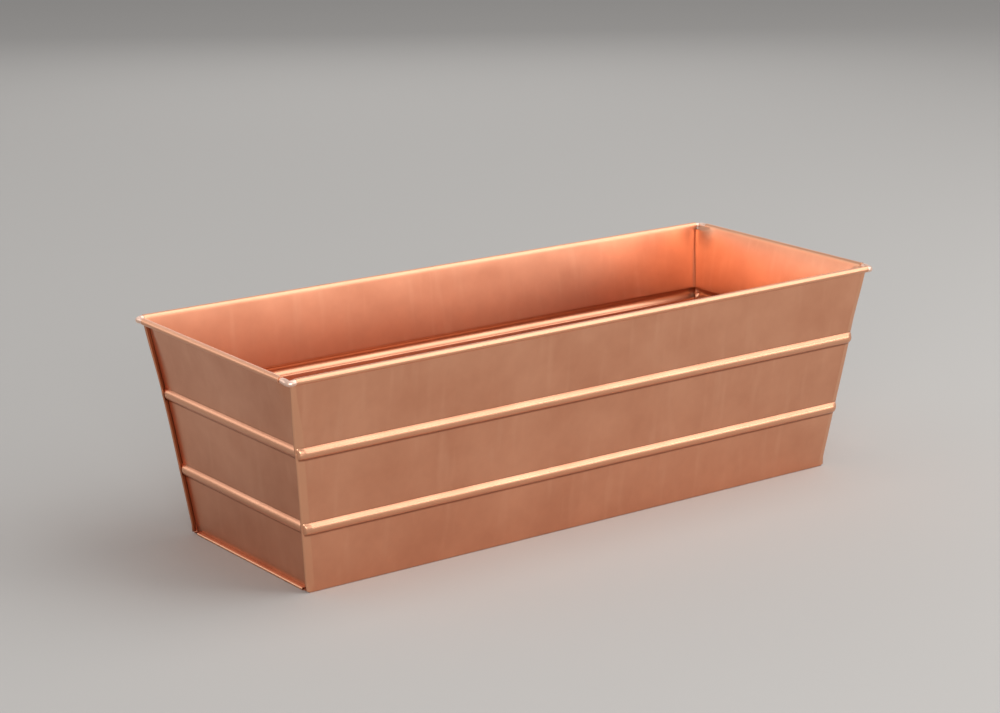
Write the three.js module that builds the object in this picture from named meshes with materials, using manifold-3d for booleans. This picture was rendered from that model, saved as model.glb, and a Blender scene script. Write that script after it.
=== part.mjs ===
// Window box planter: a tapered, open-topped trough of copper-plated sheet steel.
//
// One sheet is bent into the front wall, the floor and the back wall. Two end panels close it. Each end
// panel has flanges turned outwards on three sides, and the long sheet's edge is hemmed over them, which
// leaves a standing seam down both corners and under each end. Two beads are pressed outwards round all
// four walls, and every wall's top edge is rolled outwards over one loop of steel wire. The loop is longer
// than the trough, so it draws the end panels' tops outwards between the seams.
//
// Millimetres, +Z up, +X along the trough, the front wall towards -Y, origin on the ground at the middle.

import * as THREE from "three";
import { mergeVertices } from "three/addons/utils/BufferGeometryUtils.js";
import Module from "manifold-3d";

const wasm = await Module();
wasm.setup();

// ---- Driving dimensions -------------------------------------------------------------------------------

// Overall. The lengths are over the corner seams and the widths over the long walls' faces, both with the
// slanted wall carried on to the ground and to the top of the rim.
const HEIGHT = 188;
const TOP_LENGTH = 604;
const BOTTOM_LENGTH = 554;
const TOP_WIDTH = 229;
const BOTTOM_WIDTH = 182;

// Sheet, and the play left between layers that are squeezed together on the real box.
const SHEET = 0.6;
const PLAY = 0.3;
const BEND_RADIUS = 1; // inside the bends between floor and long walls

// Rim.
const WIRE_DIAMETER = 4;
const WIRE_BEND = 3.2; // middle line of the wire at each corner
const CORNER_DROOP = 0.8; // how far the wire's bare corners are dressed down
const BARE_X = 5.5; // from the wire's corners to the rolled edges of the long walls
const BARE_Y = 11.5; // and to those of the end panels
const END_REACH = 4.6; // how far the wire draws the end panels' rolled edges outwards
const REACH_START = 130; // height from which an end panel leans out towards its rolled edge
const REACH_SPREAD = 15; // width beside a corner seam in which the panel comes out to its full reach
const WIRE_BUTT = 0.5; // between the two ends of the wire, half way along the back
const CURL_TURN = THREE.MathUtils.degToRad(290); // how far the sheet goes round the wire

// Seams.
const SEAM_STAND = 4; // how far a seam stands out past the end panel's face
const SEAM_LAP = 0.3; // overlap with which a hem is joined to its wall

// Beads.
const BEAD_LEVELS = [56, 121.5]; // heights of their middle lines
const BEAD_WIDTH = 11;
const BEAD_HEIGHT = 3;
const BEAD_END = 3; // length in which a bead dies away
const BEAD_MARGIN = 0.4; // from a long wall's fold to where its beads start

// Drain holes in the floor, in one row along the middle.
const DRAIN_COUNT = 3;
const DRAIN_DIAMETER = 12;
const DRAIN_PITCH = 160;

// Facets.
const CURL_STEPS = 16;
const BEAD_STEPS = 8; // across a bead
const BEAD_END_STEPS = 4; // along the end of a bead
const BEND_STEPS = 4;
const REACH_STEPS = 4;
const FOLD_STEPS = 8;
const WIRE_SIDES = 12;
const WIRE_BEND_STEPS = 8;
const HOLE_SIDES = 24;
const WELD = 1e-4; // vertices closer than this are one

// ---- Sizes that follow --------------------------------------------------------------------------------

const LAYER = SHEET + PLAY;
const SEAM_DEPTH = 3 * SHEET + 2 * PLAY; // outer layer, flange and hem
const FOLD_OUTER = SEAM_DEPTH / 2;
const FOLD_MIDDLE = FOLD_OUTER - SHEET / 2;
const FLANGE_EDGE = FOLD_OUTER; // from the seam's outer line to the edge of the flange inside it
const HEM_EDGE = SEAM_STAND - PLAY; // from the same line to the edge of the hem
const SEAM_FOOT = SEAM_DEPTH + PLAY; // the corner seams start above the seam under the end
const PANEL_EDGE = LAYER + SHEET / 2; // middle of the flange, measured from the long wall's face

const LEAN_X = (TOP_LENGTH - BOTTOM_LENGTH) / 2 / HEIGHT;
const LEAN_Y = (TOP_WIDTH - BOTTOM_WIDTH) / 2 / HEIGHT;
const END_FACE = BOTTOM_LENGTH / 2 - SEAM_STAND; // outer face of an end panel at the ground
const LONG_FACE = BOTTOM_WIDTH / 2; // outer face of a long wall at the ground

const ROLL_MIDDLE = WIRE_DIAMETER / 2 + PLAY + SHEET / 2;
const WIRE_Z = HEIGHT - ROLL_MIDDLE - SHEET / 2;
const NOTCH_Z = WIRE_Z - CORNER_DROOP - WIRE_DIAMETER / 2 - PLAY; // top of the walls at the bare corners
const SEAM_TOP = NOTCH_Z - PLAY;
const WIRE_X = END_FACE + rollCentre(LEAN_X) + END_REACH;
const WIRE_Y = LONG_FACE + rollCentre(LEAN_Y);
const ROLL_LENGTH_X = WIRE_X - BARE_X; // half lengths of the rolled edges
const ROLL_LENGTH_Y = WIRE_Y - BARE_Y;

// ---- Sections -----------------------------------------------------------------------------------------

// A wall that leans out by `lean` for each millimetre of height: its middle line and its directions.
function wallLine(lean) {
  const cos = 1 / Math.hypot(1, lean);
  const along = new THREE.Vector2(lean, 1).multiplyScalar(cos);
  const outward = new THREE.Vector2(cos, -lean * cos);
  const middle = (z) => new THREE.Vector2(lean * z - SHEET / 2 / cos, z);
  const curlStart = middle(WIRE_Z + ROLL_MIDDLE * lean * cos);
  return { along, outward, middle, curlStart };
}

// How far the wire's middle lies outside the foot of a wall's outer face.
function rollCentre(lean) {
  const wall = wallLine(lean);
  return wall.curlStart.x + wall.outward.x * ROLL_MIDDLE;
}

// Points of an arc, from one angle to another, both ends included.
function arc(centre, radius, from, to, steps) {
  return Array.from({ length: steps + 1 }, (_, i) => {
    const angle = from + ((to - from) * i) / steps;
    return new THREE.Vector2(centre.x + radius * Math.cos(angle), centre.y + radius * Math.sin(angle));
  });
}

// Middle line of a wall's beads, notch and rolled edge, going up. `press` is 1 with beads and 0 without.
function wallPath(lean, press) {
  const wall = wallLine(lean);
  const path = [];
  const radius = (BEAD_HEIGHT ** 2 + (BEAD_WIDTH / 2) ** 2) / (2 * BEAD_HEIGHT);
  const halfAngle = 2 * Math.atan(BEAD_HEIGHT / (BEAD_WIDTH / 2));
  for (const level of BEAD_LEVELS) {
    for (let i = 0; i <= BEAD_STEPS; i += 1) {
      const angle = halfAngle * ((2 * i) / BEAD_STEPS - 1);
      const rise = radius * Math.cos(angle) - (radius - BEAD_HEIGHT);
      const point = wall.middle(level);
      point.addScaledVector(wall.along, radius * Math.sin(angle));
      point.addScaledVector(wall.outward, press * rise);
      path.push(point);
    }
  }
  for (let i = 0; i <= REACH_STEPS; i += 1) {
    path.push(wall.middle(REACH_START + ((NOTCH_Z - REACH_START) * i) / REACH_STEPS));
  }
  path.push(wall.middle(NOTCH_Z + PLAY));
  const centre = wall.curlStart.clone().addScaledVector(wall.outward, ROLL_MIDDLE);
  const start = Math.PI - Math.atan(lean);
  path.push(...arc(centre, ROLL_MIDDLE, start, start - CURL_TURN, CURL_STEPS));
  return path;
}

// Outline of a strip of sheet whose middle line is the path.
function strip(path) {
  const left = [];
  const right = [];
  path.forEach((point, i) => {
    const before = path[Math.max(i - 1, 0)];
    const after = path[Math.min(i + 1, path.length - 1)];
    const toHere = (i > 0 ? point.clone().sub(before) : after.clone().sub(point)).normalize();
    const onward = (i < path.length - 1 ? after.clone().sub(point) : toHere.clone()).normalize();
    const side = new THREE.Vector2(-toHere.y - onward.y, toHere.x + onward.x).normalize();
    const mitre = SHEET / 2 / (-side.x * toHere.y + side.y * toHere.x);
    left.push(point.clone().addScaledVector(side, mitre));
    right.push(point.clone().addScaledVector(side, -mitre));
  });
  return [...left, ...right.reverse()];
}

// Section of the long sheet, as [across, up] with the back wall on the plus side.
function longSection(press) {
  const wall = wallLine(LEAN_Y);
  const bend = BEND_RADIUS + SHEET / 2;
  const centre = new THREE.Vector2(0, SHEET / 2 + bend);
  centre.x = LONG_FACE + wall.middle(centre.y).x - bend / wall.outward.x;
  const corner = arc(centre, bend, -Math.PI / 2, -Math.atan(LEAN_Y), BEND_STEPS);
  const half = wallPath(LEAN_Y, press).map((p) => new THREE.Vector2(LONG_FACE + p.x, p.y));
  const back = [...corner, ...half];
  const front = back.map((p) => new THREE.Vector2(-p.x, p.y)).reverse();
  return strip([...front, ...back]);
}

// Section of an end panel, as [outwards along the trough, up].
function endSection(press) {
  const flangeZ = LAYER + SHEET / 2;
  const foot = wallLine(LEAN_X).middle(flangeZ);
  const path = wallPath(LEAN_X, press).map((p) => new THREE.Vector2(END_FACE + p.x, p.y));
  return strip([
    new THREE.Vector2(BOTTOM_LENGTH / 2 - FLANGE_EDGE, flangeZ),
    new THREE.Vector2(END_FACE + foot.x, flangeZ),
    ...path,
  ]);
}

// Section of a hem: lap, fold and return up to its edge, as [inwards from the seam's outer line, deep].
function hemSection(edge) {
  const centre = new THREE.Vector2(FOLD_OUTER, FOLD_OUTER);
  return strip([
    new THREE.Vector2(FOLD_OUTER + SEAM_LAP, SHEET / 2),
    ...arc(centre, FOLD_MIDDLE, -Math.PI / 2, (-3 * Math.PI) / 2, FOLD_STEPS),
    new THREE.Vector2(edge, SEAM_DEPTH - SHEET / 2),
  ]);
}

// ---- Making solids ------------------------------------------------------------------------------------

// Turns a closed mesh's faces outwards, whatever its vertices were mapped through.
function facingOut(geometry) {
  const p = geometry.attributes.position;
  const [a, b, c] = [new THREE.Vector3(), new THREE.Vector3(), new THREE.Vector3()];
  let volume = 0;
  for (let i = 0; i < p.count; i += 3) {
    a.fromBufferAttribute(p, i);
    b.fromBufferAttribute(p, i + 1);
    c.fromBufferAttribute(p, i + 2);
    volume += a.dot(b.cross(c));
  }
  if (volume < 0) {
    for (let i = 0; i < p.count; i += 3) {
      b.fromBufferAttribute(p, i + 1);
      c.fromBufferAttribute(p, i + 2);
      p.setXYZ(i + 1, c.x, c.y, c.z);
      p.setXYZ(i + 2, b.x, b.y, b.z);
    }
  }
  return geometry;
}

// Extrudes an outline in one step and moves each vertex by `place(point, end)`, where end is 0 or 1.
function extruded(outline, place) {
  const geometry = new THREE.ExtrudeGeometry(new THREE.Shape(outline), { depth: 1, bevelEnabled: false });
  const p = geometry.attributes.position;
  for (let i = 0; i < p.count; i += 1) {
    p.setXYZ(i, ...place(new THREE.Vector2(p.getX(i), p.getY(i)), Math.round(p.getZ(i))));
  }
  return facingOut(geometry);
}

// A closed skin through rows of points. Each row goes up one face of the sheet and down the other, so its
// points face each other across the thickness in pairs, and the two ends are closed pair by pair.
function skin(rows) {
  const count = rows[0].length;
  const last = (rows.length - 1) * count;
  const index = [];
  for (let row = 0; row < last; row += count) {
    for (let i = 0; i < count; i += 1) {
      const a = row + i;
      const b = row + ((i + 1) % count);
      index.push(a, b, a + count, b, b + count, a + count);
    }
  }
  for (let i = 0; i < count / 2 - 1; i += 1) {
    const [a, b, c, d] = [i, i + 1, count - 2 - i, count - 1 - i];
    index.push(a, d, c, a, c, b);
    index.push(last + a, last + b, last + c, last + a, last + c, last + d);
  }
  const geometry = new THREE.BufferGeometry();
  geometry.setAttribute("position", new THREE.Float32BufferAttribute(rows.flat(2), 3));
  geometry.setIndex(index);
  return facingOut(geometry.toNonIndexed());
}

// A sheet of one section drawn out both ways from its middle, with its points as `place(along, point)`.
// Its beads die away towards both ends. `half` gives the half length at a point of the section, `margin`
// is where the beads start, and `further` holds more distances from the ends at which it has a station.
function drawn(section, half, margin, place, further = []) {
  const flat = section(0);
  const pressed = section(1);
  const stations = [{ back: 0, press: 0 }];
  for (let i = 0; i <= BEAD_END_STEPS; i += 1) {
    const angle = (Math.PI / 2) * (i / BEAD_END_STEPS);
    stations.push({ back: margin + BEAD_END * (1 - Math.cos(angle)), press: Math.sin(angle) });
  }
  stations.push(...further.map((back) => ({ back, press: 1 })));
  const row = (side, { back, press }) => flat.map((point, i) => {
    return place(side * (half(point) - back), point.clone().lerp(pressed[i], press));
  });
  const near = stations.map((station) => row(-1, station));
  const far = stations.map((station) => row(1, station)).reverse();
  return skin([...near, ...far]);
}

function asSolid(geometry) {
  const bare = geometry.clone();
  bare.deleteAttribute("normal");
  bare.deleteAttribute("uv");
  const merged = mergeVertices(bare, WELD);
  return new wasm.Manifold(
    new wasm.Mesh({
      numProp: 3,
      vertProperties: merged.attributes.position.array,
      triVerts: new Uint32Array(merged.index.array),
    }),
  );
}

function asGeometry(solid) {
  const mesh = solid.getMesh();
  const geometry = new THREE.BufferGeometry();
  geometry.setAttribute("position", new THREE.BufferAttribute(mesh.vertProperties, 3));
  geometry.setIndex(new THREE.BufferAttribute(mesh.triVerts, 1));
  geometry.computeVertexNormals();
  return geometry;
}

function joined(geometries) {
  return geometries.map(asSolid).reduce((whole, piece) => whole.add(piece));
}

// ---- The long sheet: front wall, floor and back wall --------------------------------------------------

// Hem of a corner seam. It follows the slanted corner line from above the foot to below the bare wire.
function cornerHem(sideX, sideY) {
  return extruded(hemSection(HEM_EDGE), (point, step) => {
    const z = step ? SEAM_TOP : SEAM_FOOT;
    const x = BOTTOM_LENGTH / 2 + LEAN_X * z - point.x;
    const y = LONG_FACE + LEAN_Y * z - point.y;
    return [sideX * x, sideY * y, z];
  });
}

// Hem under an end, between the two corner seams.
function floorHem(sideX) {
  const half = LONG_FACE - SEAM_FOOT;
  const edge = HEM_EDGE - LEAN_X * SEAM_DEPTH; // the end panel leans out over it
  return extruded(hemSection(edge), (point, step) => {
    return [sideX * (BOTTOM_LENGTH / 2 - point.x), step ? half : -half, point.y];
  });
}

function drainHole(x) {
  const depth = SHEET + 2 * BEND_RADIUS; // through the floor and past both its faces
  const cutter = new THREE.CylinderGeometry(DRAIN_DIAMETER / 2, DRAIN_DIAMETER / 2, depth, HOLE_SIDES);
  cutter.rotateX(Math.PI / 2);
  cutter.translate(x, 0, SHEET / 2);
  return asSolid(cutter);
}

function bodySheet() {
  const half = (point) => {
    const fold = BOTTOM_LENGTH / 2 + LEAN_X * point.y - FOLD_OUTER;
    return point.y > NOTCH_Z + PLAY / 2 ? ROLL_LENGTH_X : fold;
  };
  const pieces = [drawn(longSection, half, BEAD_MARGIN, (along, point) => [along, point.x, point.y])];
  for (const sideX of [-1, 1]) {
    pieces.push(cornerHem(sideX, -1), cornerHem(sideX, 1), floorHem(sideX));
  }
  let sheet = joined(pieces);
  for (let i = 0; i < DRAIN_COUNT; i += 1) {
    sheet = sheet.subtract(drainHole((i - (DRAIN_COUNT - 1) / 2) * DRAIN_PITCH));
  }
  return asGeometry(sheet);
}

// ---- End panels ---------------------------------------------------------------------------------------

// Flange turned outwards inside a corner seam of the right-hand end.
function cornerFlange(sideY) {
  const outline = [
    new THREE.Vector2(FLANGE_EDGE, LAYER),
    new THREE.Vector2(SEAM_STAND + SHEET, LAYER),
    new THREE.Vector2(SEAM_STAND + SHEET, LAYER + SHEET),
    new THREE.Vector2(FLANGE_EDGE, LAYER + SHEET),
  ];
  return extruded(outline, (point, step) => {
    const z = step ? SEAM_TOP : SEAM_FOOT;
    return [BOTTOM_LENGTH / 2 + LEAN_X * z - point.x, sideY * (LONG_FACE + LEAN_Y * z - point.y), z];
  });
}

// How far a point of the panel is drawn outwards: not at the seams, and fully at the rolled edge.
function reach(along, z) {
  if (z > NOTCH_Z + PLAY + WELD) {
    return END_REACH;
  }
  const inside = LONG_FACE + LEAN_Y * z - Math.abs(along);
  const up = THREE.MathUtils.clamp((z - REACH_START) / (WIRE_Z - REACH_START), 0, 1);
  return END_REACH * up ** 2 * THREE.MathUtils.clamp((inside - SEAM_FOOT) / REACH_SPREAD, 0, 1);
}

// The panel for the right-hand end. The left-hand one is the same piece turned half round.
function endPanel() {
  const cornerCut = LAYER + SHEET; // clears the bend between floor and long wall
  const half = (point) => {
    const edge = point.y < cornerCut + PLAY ? cornerCut : PANEL_EDGE;
    const wall = LONG_FACE + LEAN_Y * point.y - edge;
    return point.y > NOTCH_Z + PLAY / 2 ? ROLL_LENGTH_Y : wall;
  };
  const place = (along, point) => [point.x + reach(along, point.y), along, point.y];
  const margin = SEAM_FOOT - PANEL_EDGE;
  const panel = drawn(endSection, half, margin, place, [margin + REACH_SPREAD]);
  return asGeometry(joined([panel, cornerFlange(-1), cornerFlange(1)]));
}

// ---- Rim wire -----------------------------------------------------------------------------------------

// A line through given points that spends one step of an extrusion on each stretch between them.
class WireLine extends THREE.Curve {
  constructor(points) {
    super();
    this.points = points;
  }

  getPoint(t) {
    const place = t * (this.points.length - 1);
    const i = Math.min(Math.floor(place), this.points.length - 2);
    return this.points[i].clone().lerp(this.points[i + 1], place - i);
  }

  getUtoTmapping(u) {
    return u;
  }
}

// Middle line of the wire, once round from its butt joint. It dips at each bare corner.
function wirePoints() {
  const points = [new THREE.Vector3(-WIRE_BUTT / 2, WIRE_Y, WIRE_Z)];
  const corners = [[-1, 1], [-1, -1], [1, -1], [1, 1]];
  corners.forEach(([sideX, sideY], corner) => {
    const centre = new THREE.Vector2(sideX * (WIRE_X - WIRE_BEND), sideY * (WIRE_Y - WIRE_BEND));
    const start = (Math.PI / 2) * (corner + 1);
    arc(centre, WIRE_BEND, start, start + Math.PI / 2, WIRE_BEND_STEPS).forEach((point, i) => {
      const dip = (CORNER_DROOP * (1 - Math.cos((2 * Math.PI * i) / WIRE_BEND_STEPS))) / 2;
      points.push(new THREE.Vector3(point.x, point.y, WIRE_Z - dip));
    });
  });
  points.push(new THREE.Vector3(WIRE_BUTT / 2, WIRE_Y, WIRE_Z));
  return points;
}

function rimWire() {
  const points = wirePoints();
  const circle = arc(new THREE.Vector2(), WIRE_DIAMETER / 2, 0, 2 * Math.PI, WIRE_SIDES);
  const ring = new THREE.Shape(circle.slice(1));
  const options = { steps: points.length - 1, extrudePath: new WireLine(points), bevelEnabled: false };
  return asGeometry(asSolid(facingOut(new THREE.ExtrudeGeometry(ring, options))));
}

// ---- The assembly -------------------------------------------------------------------------------------

// Satin copper plate. The wire is plated with the rest, and is a little brighter where it was drawn.
function copper(colour, roughness) {
  return new THREE.MeshStandardMaterial({ color: colour, roughness, metalness: 1, side: THREE.DoubleSide });
}

function piece(name, geometry, material) {
  const mesh = new THREE.Mesh(geometry, material);
  mesh.name = name;
  return mesh;
}

const planter = new THREE.Group();
planter.name = "window_box_planter";

const rightEnd = piece("right_end_panel", endPanel(), copper(0xc98763, 0.38));
const leftEnd = piece("left_end_panel", endPanel(), copper(0xc98763, 0.38));
leftEnd.rotation.z = Math.PI;
planter.add(piece("body_sheet", bodySheet(), copper(0xc98763, 0.38)));
planter.add(leftEnd);
planter.add(rightEnd);
planter.add(piece("rim_wire", rimWire(), copper(0xdc9c78, 0.3)));

export default planter;
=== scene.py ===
"""Window box planter: a tapered trough of copper-plated sheet steel, with its stage, lights and camera.

The long sheet (front wall, floor and back wall), the two end panels and the rim wire are each made as one
piece here, at the sizes of the frame, with the fine shapes that formed sheet metal has: filleted beads,
rolled rims, hems, seams that are dressed back a little, and walls that aren't quite flat.

Millimetres until a mesh is made, and metres after that. +X along the trough, front wall towards -Y, +Z up.
"""

import math
from collections import namedtuple

import bpy
import numpy as np
from mathutils import Matrix, Vector


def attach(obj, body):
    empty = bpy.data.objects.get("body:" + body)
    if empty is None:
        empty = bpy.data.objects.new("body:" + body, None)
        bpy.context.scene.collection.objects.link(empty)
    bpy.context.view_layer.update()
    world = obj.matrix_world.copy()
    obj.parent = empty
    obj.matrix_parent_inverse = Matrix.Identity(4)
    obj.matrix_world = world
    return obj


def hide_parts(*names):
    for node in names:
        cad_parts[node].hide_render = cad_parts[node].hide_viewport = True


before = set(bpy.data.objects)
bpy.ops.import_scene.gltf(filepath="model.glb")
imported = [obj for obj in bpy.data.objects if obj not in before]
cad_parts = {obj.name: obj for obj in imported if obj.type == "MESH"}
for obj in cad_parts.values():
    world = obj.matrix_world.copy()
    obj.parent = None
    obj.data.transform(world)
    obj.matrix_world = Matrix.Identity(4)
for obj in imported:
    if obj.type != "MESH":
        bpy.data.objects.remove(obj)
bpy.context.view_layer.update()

MM = 0.001

# ---- Sizes in millimetres, as in the frame ------------------------------------------------------------

HEIGHT = 188.0
TOP_LENGTH, BOTTOM_LENGTH = 604.0, 554.0  # over the corner seams
TOP_WIDTH, BOTTOM_WIDTH = 229.0, 182.0  # over the long walls' faces

SHEET = 0.6
PLAY = 0.3  # between layers of sheet
FLOOR_BEND = 1.3  # middle of the sheet, between floor and long walls
PANEL_BEND = 0.7  # middle of the sheet, at an end panel's flanges

WIRE_DIAMETER = 4.0
ROLL_RADIUS = WIRE_DIAMETER / 2 + PLAY + SHEET / 2  # middle of the sheet round the wire
ROLL_TURN = math.radians(290)
WIRE_Z = HEIGHT - ROLL_RADIUS - SHEET / 2

SEAM_STAND = 4.0
LAYER = SHEET + PLAY
FOLD_RADIUS = LAYER  # middle of the sheet, in a hem
FOLD_OUTER = FOLD_RADIUS + SHEET / 2
HEM_RETURN = SEAM_STAND - PLAY - FOLD_OUTER  # from the fold to the hem's edge
SEAM_FOOT = 2.7  # corner seams start above the seam under the end
CORNER_DROOP = 0.8  # of the bare wire at the corners
NOTCH_Z = WIRE_Z - CORNER_DROOP - WIRE_DIAMETER / 2 - PLAY
BARE_X, BARE_Y = 5.5, 11.5  # from the wire's corners to the rolled edges
WIRE_BEND = 3.2
TONGUE_GAP = 6.2  # from the wire's corners to the end panels' sheet under the roll
END_REACH = 4.6  # how far the wire draws the end panels' rolled edges outwards
REACH_START = 130.0
EASE_START, EASE_SPREAD = 142.0, 24.0  # the same beside a seam, where the sheet flares out up to the wire
REACH_DART, REACH_SWEEP = 17.0, 48.0  # from a corner to the full reach: in a dart, or softly

BEAD_LEVELS = (56.0, 121.5)
BEAD_WIDTH, BEAD_HEIGHT = 11.0, 3.0
BEAD_FILLET = 0.9
BEAD_END = 1.4  # length in which a bead rises at its ends

DRAIN_COUNT, DRAIN_DIAMETER, DRAIN_PITCH = 3, 12.0, 160.0

LEAN_X = (TOP_LENGTH - BOTTOM_LENGTH) / 2 / HEIGHT
LEAN_Y = (TOP_WIDTH - BOTTOM_WIDTH) / 2 / HEIGHT
SEAM_X = BOTTOM_LENGTH / 2  # outermost line of the seams, at the ground
LONG_FACE = BOTTOM_WIDTH / 2
END_FACE = SEAM_X - SEAM_STAND


# ---- Sections -----------------------------------------------------------------------------------------

ROW_STEP = 4.5  # between the rows of a flat stretch, about
ROW_MARGIN = 1.2  # from the ends of a flat stretch to the first row inside it
ROLL_ROWS = 33
LONG_WALL_START, END_WALL_START = 8.0, 7.0  # heights where the walls' even rows start

# A row of a section: its (out, up) place and outward normal, how far a bead stands out there, how much it is
# part of the rolled rim, and how much painted shade it gets at a bead's edges.
Row = namedtuple("Row", "point normal rise rolled crease", defaults=(0.0, 0.0, 0.0))


class Wall:
    """A wall that leans out by `lean`: the middle line of its sheet as (out, up), with normals outwards."""

    def __init__(self, lean, face):
        self.cos = 1 / math.hypot(1, lean)
        self.lean = lean
        self.foot = np.array([face - SHEET / 2 / self.cos, 0.0])
        self.along = np.array([lean, 1.0]) * self.cos
        self.outward = np.array([1.0, -lean]) * self.cos
        self.curl_start = self.at(WIRE_Z + ROLL_RADIUS * lean * self.cos)
        self.wire = self.curl_start + self.outward * ROLL_RADIUS

    def at(self, z):
        return self.foot + self.along * (z / self.cos)


WIRE_X = float(END_FACE + Wall(LEAN_X, 0.0).wire[0] + END_REACH)
WIRE_Y = float(LONG_FACE + Wall(LEAN_Y, 0.0).wire[0])


def bead_profile():
    """(distance along the wall from the bead's middle, rise) of a bead with filleted edges."""
    whole = (BEAD_HEIGHT**2 + (BEAD_WIDTH / 2) ** 2) / (2 * BEAD_HEIGHT)
    turn = 2 * math.atan(2 * BEAD_HEIGHT / BEAD_WIDTH)
    crest = whole - BEAD_FILLET
    fillet = [(BEAD_WIDTH / 2 - BEAD_FILLET * math.sin(a), BEAD_FILLET * (1 - math.cos(a)))
              for a in np.linspace(0, turn, 7)]
    top = [(crest * math.sin(a), BEAD_HEIGHT - crest * (1 - math.cos(a))) for a in np.linspace(turn, 0, 9)]
    upper = fillet + top[1:]
    return [(-d, r) for d, r in upper] + [(d, r) for d, r in upper[-2::-1]]


def bead_crease_shade(distance):
    """Painted shade at a bead's edges, from 0 to 1, at a distance up the wall from the bead's middle."""
    # Most along the lower edge, where the bead turns down into shade, and less along the upper edge.
    lower = math.exp(-(((distance + BEAD_WIDTH / 2 - 0.6) / 1.4) ** 2))
    upper = 0.45 * math.exp(-(((distance - BEAD_WIDTH / 2 + 0.2) / 0.7) ** 2))
    return lower + upper


def flat_rows(wall, lower, upper, from_bead, to_bead):
    """Rows of a flat stretch of wall between two heights, with painted shade where it ends at a bead."""
    count = max(2, round((upper - lower) / ROW_STEP))
    rows = []
    for z in [lower, *np.linspace(lower + ROW_MARGIN, upper - ROW_MARGIN, count + 1), upper]:
        below = bead_crease_shade(-BEAD_WIDTH / 2) if to_bead and z == upper else 0.0
        above = bead_crease_shade(BEAD_WIDTH / 2) if from_bead and z == lower else 0.0
        rows.append(Row(wall.at(z), wall.outward, crease=below + above))
    return rows


def bead_rows(wall, level):
    """Rows over a bead."""
    middle = wall.at(level)
    return [Row(middle + wall.along * distance, wall.outward, rise, 0.0, bead_crease_shade(distance))
            for distance, rise in bead_profile()[1:-1]]


def rolled_rows(wall):
    """Rows from the notches at the corners up, and round the edge that is rolled over the wire."""
    rows = []
    for share in (0.12, 0.5):
        point = wall.at(NOTCH_Z) * (1 - share) + wall.curl_start * share
        rows.append(Row(point, wall.outward, rolled=0.2 * share))
    start = math.pi - math.atan(wall.lean)
    for turn in np.linspace(0, ROLL_TURN, ROLL_ROWS):
        radial = np.array([math.cos(start - turn), math.sin(start - turn)])
        rows.append(Row(wall.wire + radial * ROLL_RADIUS, -radial, rolled=1.0))
    return rows


def wall_rows(wall, bottom_z):
    """Rows of a wall from bottom_z up, then round the rolled edge."""
    half = BEAD_WIDTH / 2 * wall.cos
    rows = []
    lower = bottom_z
    for level in BEAD_LEVELS:
        rows += flat_rows(wall, lower, level - half, from_bead=lower != bottom_z, to_bead=True)
        rows += bead_rows(wall, level)
        lower = level + half
    rows += flat_rows(wall, lower, NOTCH_Z, from_bead=True, to_bead=False)
    return rows + rolled_rows(wall)


class Section:
    """The rows that a sheet is drawn through, as one array for each thing that a row says."""

    def __init__(self, rows, first_wall):
        self.point = np.array([row.point for row in rows], float)
        self.normal = np.array([row.normal for row in rows], float)
        self.rise = np.array([row.rise for row in rows])
        self.rolled = np.array([row.rolled for row in rows])
        self.crease = np.array([row.crease for row in rows])
        self.is_wall = np.arange(len(rows)) >= first_wall

    def add_other_side(self):
        """Puts the mirrored rows before these: down one wall, across the floor and up the other wall."""
        mirror = np.array([-1.0, 1.0])
        self.point = np.concatenate([(self.point * mirror)[:0:-1], self.point])
        self.normal = np.concatenate([(self.normal * mirror)[:0:-1], self.normal])
        self.rise = np.concatenate([self.rise[:0:-1], self.rise])
        self.rolled = np.concatenate([self.rolled[:0:-1], self.rolled])
        self.crease = np.concatenate([self.crease[:0:-1], self.crease])
        self.is_wall = np.concatenate([self.is_wall[:0:-1], self.is_wall])

    @property
    def z(self):
        return self.point[:, 1]

    @property
    def above_notch(self):
        return self.rolled > 0

    @property
    def flat_wall(self):
        return self.is_wall & (self.rolled == 0)


# ---- Sheets -------------------------------------------------------------------------------------------

FAR = 99.0  # stands for the distance of every column in the middle, past all that is made near a side
NEARLY = 0.01  # two lengths that differ by less are the same
CUT_EDGE = math.radians(38)  # faces that meet more sharply than this are shaded apart
FLAT_AT_SIDE, FLAT_AT_FOOT, FLAT_AT_RIM = 30.0, 25.0, 14.0  # lengths over which a wall starts to be uneven


class Columns:
    """The columns of a sheet, from one side to the other: where each one is along the wall at every row, how
    far its fold stands out, its guide normal, which part it is in, and its value there."""

    def __init__(self, half, parts, place, middle_count):
        """`parts` has the (part, value) of one side's columns, from the cut edge inwards. A value is a length,
        an angle round a fold, or on the wall the distance from the side. `place` gives the column's place."""
        listed = []
        last = parts[-1][1]
        for sign, order in ((-1, parts), (1, parts[::-1])):
            for part, value in order:
                along, lift, guide = place(part, value)
                listed.append((sign * along, lift, sign * guide[0], guide[1], part, value))
            if sign == -1:
                for share in np.linspace(0, 1, middle_count + 2)[1:-1]:
                    listed.append(((half - last) * (2 * share - 1), 0.0, 0.0, 1.0, "wall", FAR))
        along, lift, guide_along, guide_out, part, value = zip(*listed)
        self.along = np.stack([np.broadcast_to(a, half.shape) for a in along], axis=1)
        self.lift = np.array(lift)
        self.guide_along = np.array(guide_along)
        self.guide_out = np.array(guide_out)
        self.part = np.array(part)
        self.value = np.array(value)

    @property
    def is_wall(self):
        return self.part == "wall"

    def outside(self, distance):
        """The columns of the folds, and of the wall nearer to the side than a distance."""
        return (self.value < distance - NEARLY) & self.is_wall | ~self.is_wall


def wall_steps(close_end, close_step, wide, notch):
    """Distances from a side at which a wall has a column: close together, then wide, and one at the notch."""
    steps = np.concatenate([np.arange(0, close_end, close_step), wide])
    steps[int(np.argmin(np.abs(steps - notch)))] = notch
    return steps


def smooth(x):
    """An even ramp from 0 to 1 with soft ends."""
    x = np.clip(x, 0, 1)
    return x * x * (3 - 2 * x)


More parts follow.
